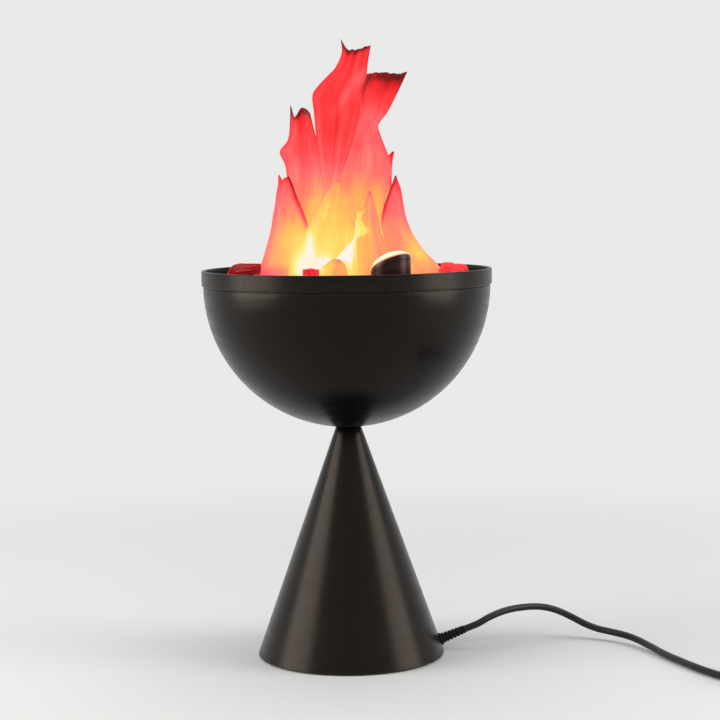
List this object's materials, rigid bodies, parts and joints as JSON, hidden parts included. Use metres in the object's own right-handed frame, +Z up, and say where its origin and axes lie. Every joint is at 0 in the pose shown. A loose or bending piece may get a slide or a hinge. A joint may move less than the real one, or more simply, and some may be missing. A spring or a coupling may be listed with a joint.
{
  "type": "silk flame effect light",
  "caption": "Half-round bowl on a cone foot with a fan and two lamps that blow and light strips of red silk like a fire, on a mains cord with an in-line switch.",
  "frame": {"origin": "middle of the foot's underside, on the floor", "axes": "+Z up; -Y is the front, where the picture looks from; the cord leaves towards +X"},
  "size_m": [0.4477, 0.2302, 0.4383],
  "materials": {
    "satin_black": "satin",
    "rim_plastic": "satin",
    "black_plate": "matte",
    "black_plastic": "matte",
    "black_rubber": "matte",
    "cord_vinyl": "semi-gloss",
    "screw_steel": "satin",
    "bearing_bronze": "satin",
    "copper_winding": "satin",
    "ferrite": "matte",
    "lamp_lens": "gloss",
    "lamp_board": "matte",
    "heat_sink": "satin",
    "red_silk": "sheer, lit from inside",
    "pin_brass": "polished"
  },
  "bodies": {
    "base": {"pedestal_cone": "satin_black", "bowl_shell": "satin_black", "rim_ring": "rim_plastic", "base_plate": "black_plate", "deck_plate": "black_plastic", "driver_case": "black_plastic", "fan_frame": "black_plastic", "lamp_housing_front": "black_plastic", "lamp_housing_back": "black_plastic", "silk_hoop": "black_plastic", "switch_base": "black_plastic", "switch_cover": "black_plastic", "plug_body": "black_plastic", "foot_1": "black_rubber", "foot_2": "black_rubber", "foot_3": "black_rubber", "cord_grommet": "black_rubber", "mains_lead_inside": "cord_vinyl", "cord_lead": "cord_vinyl", "cord_coil": "cord_vinyl", "cord_link": "cord_vinyl", "cord_tail": "cord_vinyl", "base_screw_1": "screw_steel", "base_screw_2": "screw_steel", "base_screw_3": "screw_steel", "deck_screw_1": "screw_steel", "deck_screw_2": "screw_steel", "deck_screw_3": "screw_steel", "fan_screw_1": "screw_steel", "fan_screw_2": "screw_steel", "stem_nipple": "screw_steel", "stem_nut_upper": "screw_steel", "stem_nut_lower": "screw_steel", "fan_bearing": "bearing_bronze", "fan_stator": "copper_winding", "lamp_lens_front": "lamp_lens", "lamp_lens_back": "lamp_lens", "lamp_board_front": "lamp_board", "lamp_board_back": "lamp_board", "lamp_heat_sink_front": "heat_sink", "lamp_heat_sink_back": "heat_sink", "silk_low_left": "red_silk", "silk_front_left": "red_silk", "silk_front_right": "red_silk", "silk_low_right": "red_silk", "silk_back_right": "red_silk", "silk_back_left": "red_silk", "silk_mid_left": "red_silk", "silk_tall_centre": "red_silk", "silk_tall_right": "red_silk", "silk_back_inner": "red_silk", "silk_roll_left": "red_silk", "silk_roll_front": "red_silk", "silk_roll_right": "red_silk", "plug_pin_1": "pin_brass", "plug_pin_2": "pin_brass"},
    "fan": {"fan_rotor": "black_plastic", "fan_shaft": "screw_steel", "fan_magnet": "ferrite"},
    "rocker": {"switch_rocker": "black_plastic"}
  },
  "joints": [
    {"name": "fan_spin", "type": "hinge", "parent": "base", "child": "fan", "pos_m": [0, 0, 0.2336], "axis": [0, 0, 1], "continuous": true},
    {"name": "switch_rock", "type": "hinge", "parent": "base", "child": "rocker", "pos_m": [0.33212, -0.02413, 0.0144], "axis": [-1, 0, 0], "range_deg": [-18, 0]}
  ]
}
